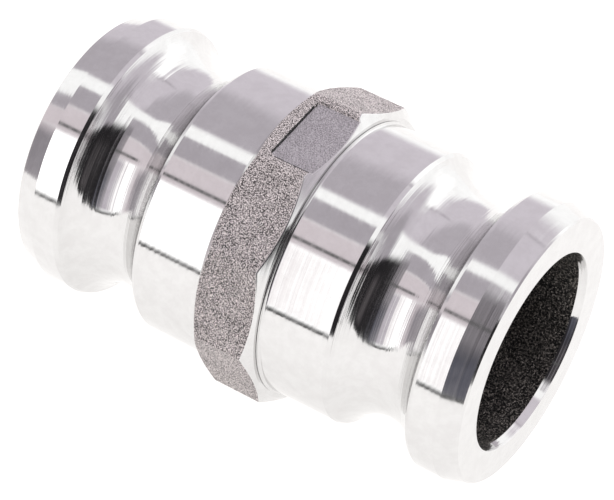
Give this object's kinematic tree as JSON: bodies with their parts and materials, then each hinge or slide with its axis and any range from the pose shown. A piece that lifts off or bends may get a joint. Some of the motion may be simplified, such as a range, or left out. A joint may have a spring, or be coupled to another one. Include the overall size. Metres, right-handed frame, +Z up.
{
  "type": "camlock coupling",
  "caption": "Steel cam-and-groove coupling with a grooved male end on each side of a ten-sided wrench collar, made of two screwed halves and a seal.",
  "frame": {"origin": "on the flow axis, half way between the two end faces", "axes": "+X along the flow axis towards the half with the threaded socket, +Z out of the collar flat that has the sunk blank panel, +Y to the left seen from the +X end with +Z up"},
  "size_m": [0.0796, 0.0504, 0.048],
  "materials": {
    "adapter_steel": "stainless steel: turned and polished ends, blasted ten-sided collar",
    "seal_rubber": "matt black sealing ring"
  },
  "bodies": {
    "collar_half": {"collar_adapter": "adapter_steel"},
    "seal": {"seal_ring": "seal_rubber"},
    "socket_half": {"socket_adapter": "adapter_steel"}
  },
  "joints": [
    {"name": "thread_advance", "type": "slide", "parent": "collar_half", "child": "seal", "axis": [1, 0, 0], "range_m": [0, 0.006]},
    {"name": "thread_turn", "type": "hinge", "parent": "seal", "child": "socket_half", "pos_m": [0, 0, 0], "axis": [1, 0, 0], "range_deg": [0, 1440.1]}
  ],
  "couplings": [
    {"joint": "thread_turn", "follows": "thread_advance", "rad_per_m": 4188.8}
  ]
}
